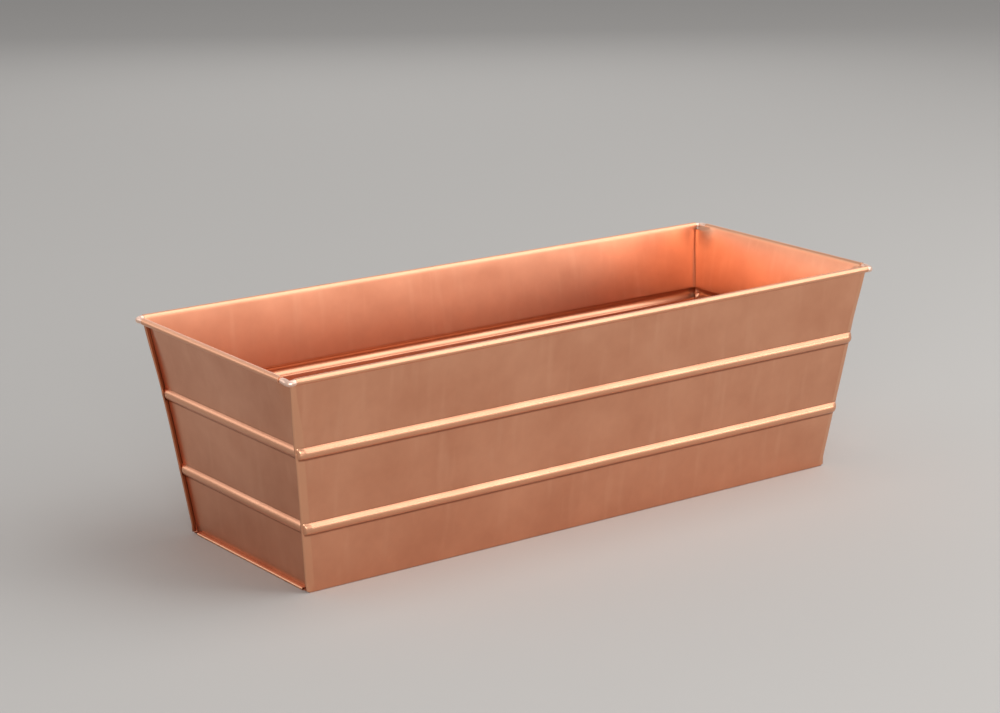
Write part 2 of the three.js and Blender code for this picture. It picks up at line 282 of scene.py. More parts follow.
def bead_press(distance):
    """Share of its full height that a bead has at a distance from where it starts."""
    x = np.clip(distance / BEAD_END, 0, 1)
    return np.sqrt(1 - (1 - x) ** 2)


def waves(along, z, seed, reach):
    """A gentle unevenness from -1 to 1 over a wall, made of a few sine waves of at least `reach` mm."""
    rng = np.random.default_rng(seed)
    total = np.zeros(np.broadcast(along, z).shape)
    for _ in range(7):
        length = reach * rng.uniform(1.0, 2.6)
        angle = rng.uniform(0, math.pi)
        phase = rng.uniform(0, 2 * math.pi)
        total += np.sin(2 * math.pi * (along * math.cos(angle) + z * math.sin(angle)) / length + phase)
    return total / 7


def lifted(section, columns, half, press, unevenness):
    """How far each point stands out of its row's line: beads, folds, and walls that aren't quite flat."""
    z = section.z[:, None]
    side_fade = smooth((half[:, None] - np.abs(columns.along)) / FLAT_AT_SIDE)
    foot_fade = smooth((z - 2.0) / FLAT_AT_FOOT) * smooth((NOTCH_Z - z) / FLAT_AT_RIM)
    uneven = np.where(section.flat_wall[:, None], unevenness * side_fade * foot_fade, 0.0)
    return section.rise[:, None] * press[None, :] + columns.lift[None, :] + uneven


def sheet_grid(section, columns, lift, order):
    """(points, guide normals) of a sheet's middle. `order` puts along, out and up on X, Y and Z."""
    points = [columns.along]
    guides = [np.broadcast_to(columns.guide_along[None, :], lift.shape)]
    for axis in (0, 1):
        points.append(section.point[:, None, axis] + section.normal[:, None, axis] * lift)
        guides.append(section.normal[:, None, axis] * columns.guide_out[None, :])
    return np.stack([points[k] for k in order], axis=2), np.stack([guides[k] for k in order], axis=2)


def grid_normals(points, guides):
    """Unit normals of a grid of points, on the side that its guides are on."""
    du = np.gradient(points, axis=0)
    dv = np.gradient(points, axis=1)
    normal = np.cross(du, dv)
    normal /= np.maximum(np.linalg.norm(normal, axis=2, keepdims=True), 1e-9)
    flip = np.sign(np.sum(normal * guides, axis=2, keepdims=True))
    return normal * np.where(flip == 0, 1, flip)


def touching(marks):
    """The cells that lie at a marked row, or at a marked column."""
    return marks[1:] | marks[:-1]


def shell(points, guides, cells):
    """A closed sheet round a grid of middle points: (vertices, faces, grid index of each vertex).
    Only the cells marked in `cells` are there."""
    rows, cols = cells.shape
    used = np.zeros((rows + 1, cols + 1), bool)
    for di in (0, 1):
        for dj in (0, 1):
            used[di:di + rows, dj:dj + cols] |= cells
    number = np.full(used.shape, -1)
    number[used] = np.arange(used.sum())
    count = int(used.sum())
    middle, side = points[used], grid_normals(points, guides)[used]
    vertices = np.concatenate([middle + side * SHEET / 2, middle - side * SHEET / 2])

    i, j = np.nonzero(cells)
    quads = np.stack([number[i, j], number[i, j + 1], number[i + 1, j + 1], number[i + 1, j]], axis=1)
    a, b, d = (middle[quads[:, k]] for k in (0, 1, 3))
    inside_out = np.sum(np.cross(b - a, d - a) * side[quads[:, 0]], axis=1).sum() < 0
    if inside_out:
        quads = quads[:, ::-1]
    faces = [tuple(q) for q in quads] + [tuple(q[::-1] + count) for q in quads]
    edges = {(q[k], q[(k + 1) % 4]) for q in quads.tolist() for k in range(4)}
    faces += [(q, p, p + count, q + count) for p, q in edges if (q, p) not in edges]
    return vertices, faces, np.concatenate([np.flatnonzero(used)] * 2)


def outer_share(index):
    """1 for a shell's vertices on the outer side, and less on the inner side: how strongly painted shade shows
    on each side.
    """
    half = len(index) // 2
    return np.concatenate([np.ones(half), np.full(half, 0.3)])


def placed(name, data):
    """A new object in the scene."""
    made = bpy.data.objects.new(name, data)
    bpy.context.scene.collection.objects.link(made)
    return made


def mesh_object(name, vertices, faces, attributes):
    """A mesh from millimetres, with float attributes, smooth but for its cut edges."""
    mesh = bpy.data.meshes.new(name)
    mesh.from_pydata((np.asarray(vertices) * MM).tolist(), [], [tuple(map(int, f)) for f in faces])
    for key, values in attributes.items():
        layer = mesh.attributes.new(key, "FLOAT", "POINT")
        layer.data.foreach_set("value", np.asarray(values, np.float32))
    mesh.validate()
    mesh.shade_smooth()
    mesh.set_sharp_from_angle(angle=CUT_EDGE)
    return placed(name, mesh)


# ---- The seams, dressed back --------------------------------------------------------------------------

DRESS_DEPTH = 2.6  # how far back a corner seam's edge is turned, at its most
DRESS_WIDTH = 6.8  # how far in from its edge the turn starts
DRESS_LOW, DRESS_RIM = 0.75, 0.12  # shares of the depth below the upper bead, and just below the rim
DRESS_FALL_START = BEAD_LEVELS[1] + 10.0  # height from which it falls off towards the rim


def dress_strength(z):
    """How hard a corner seam was turned back at a height: most above the upper bead, least at the rim."""
    fall = smooth((z - DRESS_FALL_START) / (NOTCH_Z - DRESS_FALL_START))
    upper = DRESS_RIM + (1 - DRESS_RIM) * (1 - fall)
    return np.where(z > BEAD_LEVELS[1], upper, DRESS_LOW) * smooth(z / 6.0)


def seam_strip_highlight(z, back):
    """How much painted highlight a long wall's dressed seam strip gets, from 0 to 1, at a height and a
    distance from a seam.
    """
    width = DRESS_WIDTH * (0.5 + 0.5 * dress_strength(z))
    return 0.8 * smooth((width - back) / 1.2)


def dress(points):
    """Turns the corner seams back towards the ends' middle."""
    x, y, z = points[:, 0], points[:, 1], points[:, 2]
    back = np.clip(SEAM_X + LEAN_X * z - np.abs(x), 0, DRESS_WIDTH)
    inside = LONG_FACE + LEAN_Y * z - np.abs(y)
    near_wall = 1 - smooth((inside - 3.0) / 5.0)
    depth = DRESS_DEPTH * dress_strength(z) * (1 - back / DRESS_WIDTH) ** 1.25 * near_wall
    moved = points.copy()
    moved[:, 1] -= np.sign(y) * depth
    return moved


# ---- The long sheet -----------------------------------------------------------------------------------

LONG_UNEVENNESS, LONG_WAVE_SEED, LONG_WAVE_REACH = 0.28, 11, 55.0
BACK_WALL_SHIFT = 400.0  # moves the back wall's waves on, so that it isn't a copy of the front wall


def long_section():
    """(section, how far from the middle its floor bends start): both long walls and the floor."""
    wall = Wall(LEAN_Y, LONG_FACE)
    centre_z = SHEET / 2 + FLOOR_BEND
    centre_y = wall.at(centre_z)[0] - FLOOR_BEND / wall.outward[0]
    rows = [Row((y, SHEET / 2), (0.0, -1.0)) for y in np.linspace(0, centre_y, 13)[:-1]]
    for angle in np.linspace(-math.pi / 2, -math.atan(LEAN_Y), 9):
        radial = np.array([math.cos(angle), math.sin(angle)])
        rows.append(Row(np.array([centre_y, centre_z]) + radial * FLOOR_BEND, radial))
    section = Section(rows + wall_rows(wall, LONG_WALL_START), first_wall=len(rows) - 1)
    section.add_other_side()
    return section, centre_y


def long_columns(half, notch):
    """Columns from the hem's cut edge, round its fold, and in along the wall."""

    def place(part, value):
        if part == "return":
            return half - value, -2 * FOLD_RADIUS, (0.0, -1.0)
        if part == "fold":
            return (half + FOLD_RADIUS * math.sin(value), FOLD_RADIUS * (math.cos(value) - 1),
                    (math.sin(value), math.cos(value)))
        return half - value, 0.0, (0.0, 1.0)

    parts = [("return", v) for v in np.linspace(HEM_RETURN, 0, 4)[:-1]]
    parts += [("fold", v) for v in np.linspace(math.pi, 0, 11)]
    parts += [("wall", v) for v in wall_steps(13.0, 0.65, (14.5, 17.0, 20.5), notch)[1:]]
    return Columns(half, parts, place, 82)


def long_cells(section, columns, notch, bend_start):
    """Which cells the long sheet has: no hems at the floor's bends, and nothing at the rim's corners."""
    cells = np.ones((len(section.z) - 1, len(columns.value) - 1), bool)
    is_wall, z = section.is_wall, section.z
    past_floor = np.abs(section.point[:, 0]) > bend_start - NEARLY
    bend = (~is_wall[1:] & past_floor[1:]) | (~is_wall[:-1] & past_floor[:-1])
    low_wall = is_wall[1:] & is_wall[:-1] & ((z[1:] + z[:-1]) / 2 < SEAM_FOOT)
    cells &= ~((bend | low_wall)[:, None] & touching(~columns.is_wall)[None, :])
    cells &= ~(touching(section.above_notch)[:, None] & touching(columns.outside(notch))[None, :])
    return cells


def long_marks(section, columns, press, index):
    """How much painted highlight and painted shade the long sheet gets, at each vertex."""
    # Painted highlight on the dressed seam strips, the bead crests, the rolled rim and the hems' folds.
    strip_highlight = seam_strip_highlight(section.z[:, None], columns.value[None, :])
    painted_highlight = section.rise[:, None] / BEAD_HEIGHT * press[None, :] + section.rolled[:, None]
    painted_highlight = painted_highlight + (columns.part == "fold")[None, :]
    painted_highlight = painted_highlight + np.where(section.flat_wall[:, None], strip_highlight, 0.0)
    # Painted shade in the hems' folds and returns, where the corner seams' crevices lie in shade, and in the
    # beads' creases.
    fold_shade = np.where(columns.part == "fold", 0.9 * smooth((columns.value - 1.2) / 1.0), 0.0)
    seam_shade = np.where(columns.part == "return", 0.9, fold_shade)
    seam_shade = np.where(section.is_wall[:, None], seam_shade[None, :], 0.0)
    crease_shaded = section.crease[:, None] * press[None, :]
    painted_shade = outer_share(index) * crease_shaded.ravel()[index] + seam_shade.ravel()[index]
    return {"painted_highlight": np.clip(painted_highlight, 0, 1).ravel()[index], "painted_shade": painted_shade}


def long_sheet():
    """Front wall, floor and back wall, hemmed at both ends: (vertices, faces, attributes)."""
    section, bend_start = long_section()
    rolled_half = WIRE_X - BARE_X
    notch = SEAM_X + LEAN_X * NOTCH_Z - FOLD_OUTER - rolled_half
    half = np.where(section.above_notch, rolled_half + notch, SEAM_X + LEAN_X * section.z - FOLD_OUTER)
    columns = long_columns(half, notch)
    press = np.where(columns.is_wall, bead_press(columns.value), 0.0)
    shift = BACK_WALL_SHIFT * (section.point[:, 0] > 0)
    wavy = waves(columns.along, (section.z + shift)[:, None], LONG_WAVE_SEED, LONG_WAVE_REACH)
    lift = lifted(section, columns, half, press, LONG_UNEVENNESS * wavy)
    points, guides = sheet_grid(section, columns, lift, order=(0, 1, 2))
    vertices, faces, index = shell(points, guides, long_cells(section, columns, notch, bend_start))
    return dress(vertices), faces, long_marks(section, columns, press, index)


# ---- End panels ---------------------------------------------------------------------------------------

END_UNEVENNESS, END_WAVE_SEED, END_WAVE_REACH = 0.3, 23, 60.0
BEAD_SETBACK = 0.4  # from the side bends to where the beads start
FLANGE_Z = LAYER + SHEET / 2  # of the foot flange's middle, above the hem of the floor


def end_section():
    """The foot flange, turned outwards, its bend and the wall."""
    wall = Wall(LEAN_X, END_FACE)
    centre_z = FLANGE_Z + PANEL_BEND
    centre = np.array([wall.at(centre_z)[0] + PANEL_BEND * wall.outward[0], centre_z])
    rows = [Row(np.array([out, FLANGE_Z]), np.array([0.0, 1.0]))
            for out in np.linspace(SEAM_X - FOLD_OUTER, centre[0], 4)[:-1]]
    for angle in np.linspace(-math.pi / 2, math.atan(LEAN_X) - math.pi, 7):
        radial = np.array([math.cos(angle), math.sin(angle)])
        rows.append(Row(centre + radial * PANEL_BEND, -radial))
    return Section(rows + wall_rows(wall, END_WALL_START), first_wall=len(rows))


def end_columns(half, notch):
    """Columns from a side flange's cut edge, round its bend, and in along the wall."""

    def place(part, value):
        if part == "flange":
            return half + PANEL_BEND, PANEL_BEND + value, (-1.0, 0.0)
        if part == "bend":
            return (half + PANEL_BEND * math.sin(value), PANEL_BEND * (1 - math.cos(value)),
                    (-math.sin(value), math.cos(value)))
        return half - value, 0.0, (0.0, 1.0)

    flange_length = SEAM_STAND - FOLD_OUTER - PANEL_BEND - SHEET / 2
    parts = [("flange", v) for v in np.linspace(flange_length, 0, 4)[:-1]]
    parts += [("bend", v) for v in np.linspace(math.pi / 2, 0, 7)]
    parts += [("wall", v) for v in wall_steps(21.0, 0.6, (23.0, 26.0, 30.0), notch)[1:]]
    return Columns(half, parts, place, 42)


def end_cells(section, columns, notch):
    """Which cells an end panel has: no side flanges at the foot, and at the rim's corners only a tongue that
    goes on under the wire."""
    cells = np.ones((len(section.z) - 1, len(columns.value) - 1), bool)
    rolled = (section.rolled[1:] == 1) & (section.rolled[:-1] == 1)
    below_roll = touching(section.above_notch) & ~rolled
    tongue = notch - (BARE_Y - TONGUE_GAP)
    for rows, side in ((below_roll, tongue), (rolled, notch)):
        cells &= ~(rows[:, None] & touching(columns.outside(side))[None, :])
    foot = touching(~section.is_wall) | (section.z[1:] < SEAM_FOOT)
    cells &= ~(foot[:, None] & touching(~columns.is_wall)[None, :])
    return cells


def wire_pull(section, points):
    """How far the wire draws each point of an end panel outwards: all the way at the rolled edge, and less
    further down. The front corner is drawn out in a dart, and the back corner in a soft sweep."""
    z = section.z[:, None]
    inside = LONG_FACE + LEAN_Y * z - np.abs(points[..., 1]) - SEAM_FOOT
    up = np.clip((z - REACH_START) / (WIRE_Z - REACH_START), 0, 1)
    spread = smooth(inside / np.where(points[..., 1] < 0, REACH_DART, REACH_SWEEP))
    at_roll = smooth((z - NOTCH_Z) / (WIRE_Z - NOTCH_Z))
    eased = smooth((z - EASE_START) / (WIRE_Z - EASE_START)) * smooth(inside / EASE_SPREAD)
    drawn = up**1.6 * (spread + (1 - spread) * np.maximum(at_roll, eased))
    return END_REACH * np.where(section.rolled[:, None] == 1, 1.0, drawn)


def end_marks(section, columns, press, index):
    """How much painted highlight and painted shade an end panel gets, at each vertex."""
    painted_highlight = section.rise[:, None] / BEAD_HEIGHT * press[None, :] + section.rolled[:, None]
    # Painted shade along the side seams and the foot, where shade falls, on top of the beads' painted shade.
    shade_at_seam = np.where(columns.is_wall, 1 - smooth((columns.value - 0.5) / 1.6), 1.0)
    shade_at_foot = np.where(section.is_wall, 0.9 * (1 - smooth((section.z - 3.0) / 7.0)), 0.9)
    painted_shade = section.crease[:, None] * press[None, :] + np.maximum(shade_at_seam[None, :], shade_at_foot[:, None])
    return {"painted_highlight": np.clip(painted_highlight, 0, 1).ravel()[index],
            "painted_shade": outer_share(index) * np.clip(painted_shade, 0, 1).ravel()[index]}


def end_panel():
    """The right-hand panel, with flanges turned outwards at the foot and both sides: (vertices, faces,
    attributes)."""
    section = end_section()
    edge = LONG_FACE + LEAN_Y * section.z - FLANGE_Z - PANEL_BEND
    rolled_half = WIRE_Y - BARE_Y
    notch = LONG_FACE + LEAN_Y * NOTCH_Z - FLANGE_Z - PANEL_BEND - rolled_half
    half = np.where(section.above_notch, rolled_half + notch, edge)
    columns = end_columns(half, notch)
    press = np.where(columns.is_wall, bead_press(columns.value - BEAD_SETBACK), 0.0)
    wavy = waves(columns.along, section.z[:, None], END_WAVE_SEED, END_WAVE_REACH)
    lift = lifted(section, columns, half, press, END_UNEVENNESS * wavy)
    points, guides = sheet_grid(section, columns, lift, order=(1, 0, 2))
    points[..., 0] += wire_pull(section, points)
    vertices, faces, index = shell(points, guides, end_cells(section, columns, notch))
    return dress(vertices), faces, end_marks(section, columns, press, index)


# ---- Nodes --------------------------------------------------------------------------------------------


def add_node(tree, kind, inputs=None, **settings):
    """Adds a node. `inputs` gives its sockets a value each, or another node's output to link."""
    node = tree.nodes.new(kind)
    for name, value in settings.items():
        setattr(node, name, value)
    for key, value in (inputs or {}).items():
        if isinstance(value, bpy.types.NodeSocket):
            tree.links.new(value, node.inputs[key])
        else:
            node.inputs[key].default_value = value
    return node


def linear(hex_colour):
    """An sRGB hex colour as linear RGBA."""
    def channel(c):
        return c / 12.92 if c <= 0.04045 else ((c + 0.055) / 1.055) ** 2.4
    return (*[channel(int(hex_colour[i:i + 2], 16) / 255) for i in (1, 3, 5)], 1.0)


def new_material(name):
    """(material, its empty node tree)"""
    material = bpy.data.materials.new(name)
    material.use_nodes = True
    material.node_tree.nodes.clear()
    return material, material.node_tree


# ---- Copper plate -------------------------------------------------------------------------------------

CLOUD_SIZE = 55.0
RUN_WIDTH = 9.0  # of the streaks that water leaves
GRAIN_WIDTH = 1.3  # rolling leaves a finer grain: this is as coarse as it needs to be to show
UPRIGHT = (1.0, 1.0, 0.05)  # stretches runs and grain to 20 times their width up the walls
PIT_SIZE = 1.6


def copper_colour(tree, clouds, runs):
    """Clouded copper with pale runs, lighter as painted highlight on the bead crests, rolls, folds and dressed
    seams, and darker as painted shade in the beads' creases, the seams and along the foot.
    """
    tint = add_node(tree, "ShaderNodeValToRGB", {"Fac": clouds})
    dark, pale = tint.color_ramp.elements
    dark.position = 0.3
    dark.color = linear("#D39373")
    pale.position = 0.7
    pale.color = linear("#E3A483")
    streaked = add_node(tree, "ShaderNodeMix", {
        0: runs, 6: tint.outputs["Color"], 7: linear("#EDB898")}, data_type="RGBA")
    # The painted highlight colour below, #E4A885, lightens the crests, rolls, folds and seam strips.
    painted_highlight = add_node(tree, "ShaderNodeAttribute", attribute_name="painted_highlight").outputs["Fac"]
    bright = add_node(tree, "ShaderNodeMix", {
        0: painted_highlight, 6: streaked.outputs[2], 7: linear("#E4A885")}, data_type="RGBA")
    # The painted shade colour below, #8A5138, darkens the creases, the seams and the foot.
    painted_shade = add_node(tree, "ShaderNodeAttribute", attribute_name="painted_shade").outputs["Fac"]
    dark_share = add_node(tree, "ShaderNodeMath", {0: painted_shade, 1: 0.75}, operation="MULTIPLY")
    darkened = add_node(tree, "ShaderNodeMix", {
        0: dark_share.outputs["Value"], 6: bright.outputs[2], 7: linear("#8A5138")}, data_type="RGBA")
    return darkened.outputs[2]


def satin_copper():
    """Copper electroplated on sheet steel and left satin: warm and softly reflecting. The bath leaves faint
    clouds in colour and sheen, water has run down it in pale streaks, rolling gives it a fine grain up the
    walls, painted highlight lightens the bead crests, rolls, folds and dressed seams, and painted shade
    darkens the beads' creases, the seams and the foot."""
    material, tree = new_material("satin copper plate")
    place = add_node(tree, "ShaderNodeTexCoord").outputs["Object"]
    clouds = add_node(tree, "ShaderNodeTexNoise", {
        "Vector": place, "Scale": 1 / (CLOUD_SIZE * MM), "Detail": 4.0, "Roughness": 0.55}).outputs["Fac"]
    upright = add_node(tree, "ShaderNodeMapping", {"Vector": place, "Scale": UPRIGHT}).outputs["Vector"]
    streaks = add_node(tree, "ShaderNodeTexNoise", {
        "Vector": upright, "Scale": 1 / (RUN_WIDTH * MM), "Detail": 2.0, "Roughness": 0.4})
    runs = add_node(tree, "ShaderNodeMapRange", {
        "Value": streaks.outputs["Fac"], "From Min": 0.56, "From Max": 0.78,
        "To Min": 0.0, "To Max": 0.2}).outputs["Result"]
    sheen = add_node(tree, "ShaderNodeMapRange", {
        "Value": clouds, "From Min": 0.3, "From Max": 0.7, "To Min": 0.38, "To Max": 0.32})
    duller = add_node(tree, "ShaderNodeMath", {
        0: runs, 1: 0.16, 2: sheen.outputs["Result"]}, operation="MULTIPLY_ADD")
    grain = add_node(tree, "ShaderNodeTexNoise", {
        "Vector": upright, "Scale": 1 / (GRAIN_WIDTH * MM), "Detail": 3.0})
    bump = add_node(tree, "ShaderNodeBump", {
        "Height": grain.outputs["Fac"], "Strength": 0.06, "Distance": 0.05 * MM})
    metal = add_node(tree, "ShaderNodeBsdfPrincipled", {
        "Base Color": copper_colour(tree, clouds, runs), "Metallic": 1.0,
        "Roughness": duller.outputs["Value"], "Normal": bump.outputs["Normal"]})
    add_node(tree, "ShaderNodeOutputMaterial", {"Surface": metal.outputs["BSDF"]})
    return material


def plated_wire():
    """Drawn steel wire with the same copper plate, which stays brighter and smoother on it than on the
    sheet, with small dark pits where handling has worn the plate."""
    material, tree = new_material("copper plated wire")
    place = add_node(tree, "ShaderNodeTexCoord").outputs["Object"]
    pits = add_node(tree, "ShaderNodeTexNoise", {
        "Vector": place, "Scale": 1 / (PIT_SIZE * MM), "Detail": 2.0, "Roughness": 0.6}).outputs["Fac"]
    worn = add_node(tree, "ShaderNodeMapRange", {
        "Value": pits, "From Min": 0.62, "From Max": 0.7, "To Min": 0.0, "To Max": 0.7})
    colour = add_node(tree, "ShaderNodeMix", {
        0: worn.outputs["Result"], 6: linear("#F9D3BE"), 7: linear("#A56B4E")}, data_type="RGBA")
    sheen = add_node(tree, "ShaderNodeMapRange", {
        "Value": pits, "From Min": 0.3, "From Max": 0.7, "To Min": 0.34, "To Max": 0.44})
    bump = add_node(tree, "ShaderNodeBump", {"Height": pits, "Strength": 0.1, "Distance": 0.06 * MM})
    metal = add_node(tree, "ShaderNodeBsdfPrincipled", {
        "Base Color": colour.outputs[2], "Metallic": 1.0, "Roughness": sheen.outputs["Result"],
        "Normal": bump.outputs["Normal"]})
    add_node(tree, "ShaderNodeOutputMaterial", {"Surface": metal.outputs["BSDF"]})
    return material


# ---- Geometry Nodes -----------------------------------------------------------------------------------


def sized_tree(name, sizes):
    """A tree that takes and gives geometry, with a named input for each size."""
    tree = bpy.data.node_groups.new(name, "GeometryNodeTree")
    tree.interface.new_socket("Geometry", in_out="INPUT", socket_type="NodeSocketGeometry")
    for label, size in sizes.items():
        kind = "NodeSocketInt" if isinstance(size, int) else "NodeSocketFloat"
        tree.interface.new_socket(label, in_out="INPUT", socket_type=kind)
    tree.interface.new_socket("Geometry", in_out="OUTPUT", socket_type="NodeSocketGeometry")
    return tree


def shaped(source, tree, sizes, name):
    """Runs a tree over an object at the given sizes. Gives the result as a plain mesh object, without a
    modifier, and removes the source."""
    modifier = source.modifiers.new(tree.name, "NODES")
    modifier.node_group = tree
    for socket in tree.interface.items_tree:
        if socket.name in sizes:
            modifier[socket.identifier] = sizes[socket.name]
    graph = bpy.context.evaluated_depsgraph_get()
    mesh = bpy.data.meshes.new_from_object(source.evaluated_get(graph))
    mesh.name = name
    bpy.data.objects.remove(source)
    mesh.set_sharp_from_angle(angle=CUT_EDGE)
    return placed(name, mesh)


# ---- Rim wire -----------------------------------------------------------------------------------------

WIRE_BUTT = 0.25  # half the gap at the wire's joint, in the middle of the back
WIRE_SIZES = {
    "Diameter": WIRE_DIAMETER * MM,
    "Bend Radius": WIRE_BEND * MM,
    "Corner Half Length": WIRE_X * MM,
    "Corner Half Width": WIRE_Y * MM,
    "Dip": CORNER_DROOP * MM,
    "Dip Reach": 7.0 * MM,
    "Step": 1.2 * MM,
    "Thickening": 0.3,
    "Thickening Reach": 14.0 * MM,
}


def corner_distance(tree, given):
    """How far each point of the rim is from its nearest corner, along the side that it is on."""
    where = add_node(tree, "GeometryNodeInputPosition").outputs["Position"]
    one_corner = add_node(tree, "ShaderNodeVectorMath", {0: where}, operation="ABSOLUTE")
    place = add_node(tree, "ShaderNodeSeparateXYZ", {"Vector": one_corner.outputs["Vector"]}).outputs
    along_x = add_node(tree, "ShaderNodeMath", {
        0: given["Corner Half Length"], 1: place["X"]}, operation="SUBTRACT")
    along_y = add_node(tree, "ShaderNodeMath", {
        0: given["Corner Half Width"], 1: place["Y"]}, operation="SUBTRACT")
    on_side = add_node(tree, "ShaderNodeMath", {
        0: along_x.outputs[0], 1: along_y.outputs[0]}, operation="MAXIMUM")
    return on_side.outputs[0]


def dipped(tree, given, curve, distance):
    """The curve, lowered at the corners, where the wire is bare and was knocked down."""
    share = add_node(tree, "ShaderNodeMapRange", {
        "Value": distance, "From Min": given["Dip Reach"], "From Max": 0.0,
        "To Min": 0.0, "To Max": 1.0}, interpolation_type="SMOOTHSTEP")
    dip = add_node(tree, "ShaderNodeMath", {
        0: share.outputs["Result"], 1: given["Dip"]}, operation="MULTIPLY")
    down = add_node(tree, "ShaderNodeMath", {0: dip.outputs[0], 1: -1.0}, operation="MULTIPLY")
    offset = add_node(tree, "ShaderNodeCombineXYZ", {"Z": down.outputs[0]})
    lowered = add_node(tree, "GeometryNodeSetPosition", {
        "Geometry": curve, "Offset": offset.outputs["Vector"]})
    return lowered.outputs["Geometry"]


def thickened(tree, given, curve, distance):
    """The curve, with a larger radius at the corners, where plate has built up on the bare wire."""
    near = add_node(tree, "ShaderNodeMapRange", {
        "Value": distance, "From Min": given["Thickening Reach"], "From Max": given["Dip Reach"],
        "To Min": 0.0, "To Max": 1.0}, interpolation_type="SMOOTHSTEP")
    swell = add_node(tree, "ShaderNodeMath", {
        0: near.outputs["Result"], 1: given["Thickening"], 2: 1.0}, operation="MULTIPLY_ADD")
    swollen = add_node(tree, "GeometryNodeSetCurveRadius", {"Curve": curve, "Radius": swell.outputs[0]})
    return swollen.outputs["Curve"]


def wire_tree(material):
    """Turns an open line into round wire, bent at the line's corners."""
    tree = sized_tree("rim wire", WIRE_SIZES)
    given = add_node(tree, "NodeGroupInput").outputs
    line = add_node(tree, "GeometryNodeMeshToCurve", {"Mesh": given["Geometry"]})
    bent = add_node(tree, "GeometryNodeFilletCurve", {
        "Curve": line.outputs["Curve"], "Radius": given["Bend Radius"], "Count": 12}, mode="POLY")
    stepped = add_node(tree, "GeometryNodeResampleCurve", {
        "Curve": bent.outputs["Curve"], "Length": given["Step"]}, mode="LENGTH")
    distance = corner_distance(tree, given)
    path = dipped(tree, given, stepped.outputs["Curve"], distance)
    path = thickened(tree, given, path, distance)
    radius = add_node(tree, "ShaderNodeMath", {0: given["Diameter"], 1: 0.5}, operation="MULTIPLY")
    circle = add_node(tree, "GeometryNodeCurvePrimitiveCircle", {
        "Resolution": 20, "Radius": radius.outputs[0]}, mode="RADIUS")
    swell = add_node(tree, "GeometryNodeInputRadius")
    tube = add_node(tree, "GeometryNodeCurveToMesh", {
        "Curve": path, "Profile Curve": circle.outputs["Curve"],
        "Scale": swell.outputs["Radius"], "Fill Caps": True})
    real = add_node(tree, "GeometryNodeRealizeInstances", {"Geometry": tube.outputs["Mesh"]})
    painted = add_node(tree, "GeometryNodeSetMaterial", {
        "Geometry": real.outputs["Geometry"], "Material": material})
    add_node(tree, "NodeGroupOutput", {"Geometry": painted.outputs["Geometry"]})
    return tree


def rim_wire(material):
    """One loop of wire round the rim, from its joint in the middle of the back and round to it again."""
    corners = [(-WIRE_BUTT, WIRE_Y), (-WIRE_X, WIRE_Y), (-WIRE_X, -WIRE_Y),
               (WIRE_X, -WIRE_Y), (WIRE_X, WIRE_Y), (WIRE_BUTT, WIRE_Y)]
    mesh = bpy.data.meshes.new("rim line")
    places = [(x * MM, y * MM, WIRE_Z * MM) for x, y in corners]
    mesh.from_pydata(places, [(i, i + 1) for i in range(len(corners) - 1)], [])
    made = shaped(placed("rim line", mesh), wire_tree(material), WIRE_SIZES, "wired_rim")
    made.data.shade_smooth()
    made.data.set_sharp_from_angle(angle=CUT_EDGE)
    return made


# ---- Drain holes --------------------------------------------------------------------------------------

DRAIN_SIZES = {
    "Count": DRAIN_COUNT,
    "Diameter": DRAIN_DIAMETER * MM,
    "Pitch": DRAIN_PITCH * MM,
    "Depth": 6.0 * MM,
}


def drain_tree(material):
    """Cuts a straight row of round holes through the sheet that it is given."""
    tree = sized_tree("drain holes", DRAIN_SIZES)
    given = add_node(tree, "NodeGroupInput").outputs
    gaps = add_node(tree, "ShaderNodeMath", {0: given["Count"], 1: 1.0}, operation="SUBTRACT")
    length = add_node(tree, "ShaderNodeMath", {
        0: gaps.outputs[0], 1: given["Pitch"]}, operation="MULTIPLY")
    first = add_node(tree, "ShaderNodeMath", {0: length.outputs[0], 1: -0.5}, operation="MULTIPLY")
    start = add_node(tree, "ShaderNodeCombineXYZ", {"X": first.outputs[0]})
    step = add_node(tree, "ShaderNodeCombineXYZ", {"X": given["Pitch"]})
    places = add_node(tree, "GeometryNodeMeshLine", {
        "Count": given["Count"], "Start Location": start.outputs["Vector"],
        "Offset": step.outputs["Vector"]}, mode="OFFSET")
    radius = add_node(tree, "ShaderNodeMath", {0: given["Diameter"], 1: 0.5}, operation="MULTIPLY")
    punch = add_node(tree, "GeometryNodeMeshCylinder", {
        "Vertices": 48, "Radius": radius.outputs[0], "Depth": given["Depth"]})
    punches = add_node(tree, "GeometryNodeInstanceOnPoints", {
        "Points": places.outputs["Mesh"], "Instance": punch.outputs["Mesh"]})
    real = add_node(tree, "GeometryNodeRealizeInstances", {"Geometry": punches.outputs["Instances"]})
    cut = add_node(tree, "GeometryNodeMeshBoolean", {
        "Mesh 1": given["Geometry"], "Mesh 2": real.outputs["Geometry"]},
        operation="DIFFERENCE", solver="EXACT")
    painted = add_node(tree, "GeometryNodeSetMaterial", {
        "Geometry": cut.outputs["Mesh"], "Material": material})
    add_node(tree, "NodeGroupOutput", {"Geometry": painted.outputs["Geometry"]})
    return tree


# ---- Racking ------------------------------------------------------------------------------------------

RACK_START = 90.0  # height above which the box has been pushed out of square
RACK_SHIFT = -1.0  # of the whole rim along the trough
RACK_SKEW = -1.7  # of the back of the rim along the trough, on top of that
RACK_LIFT = {(-1, -1): -1.5, (1, -1): 0.4, (-1, 1): 0.9, (1, 1): -1.2}  # of the rim's corners


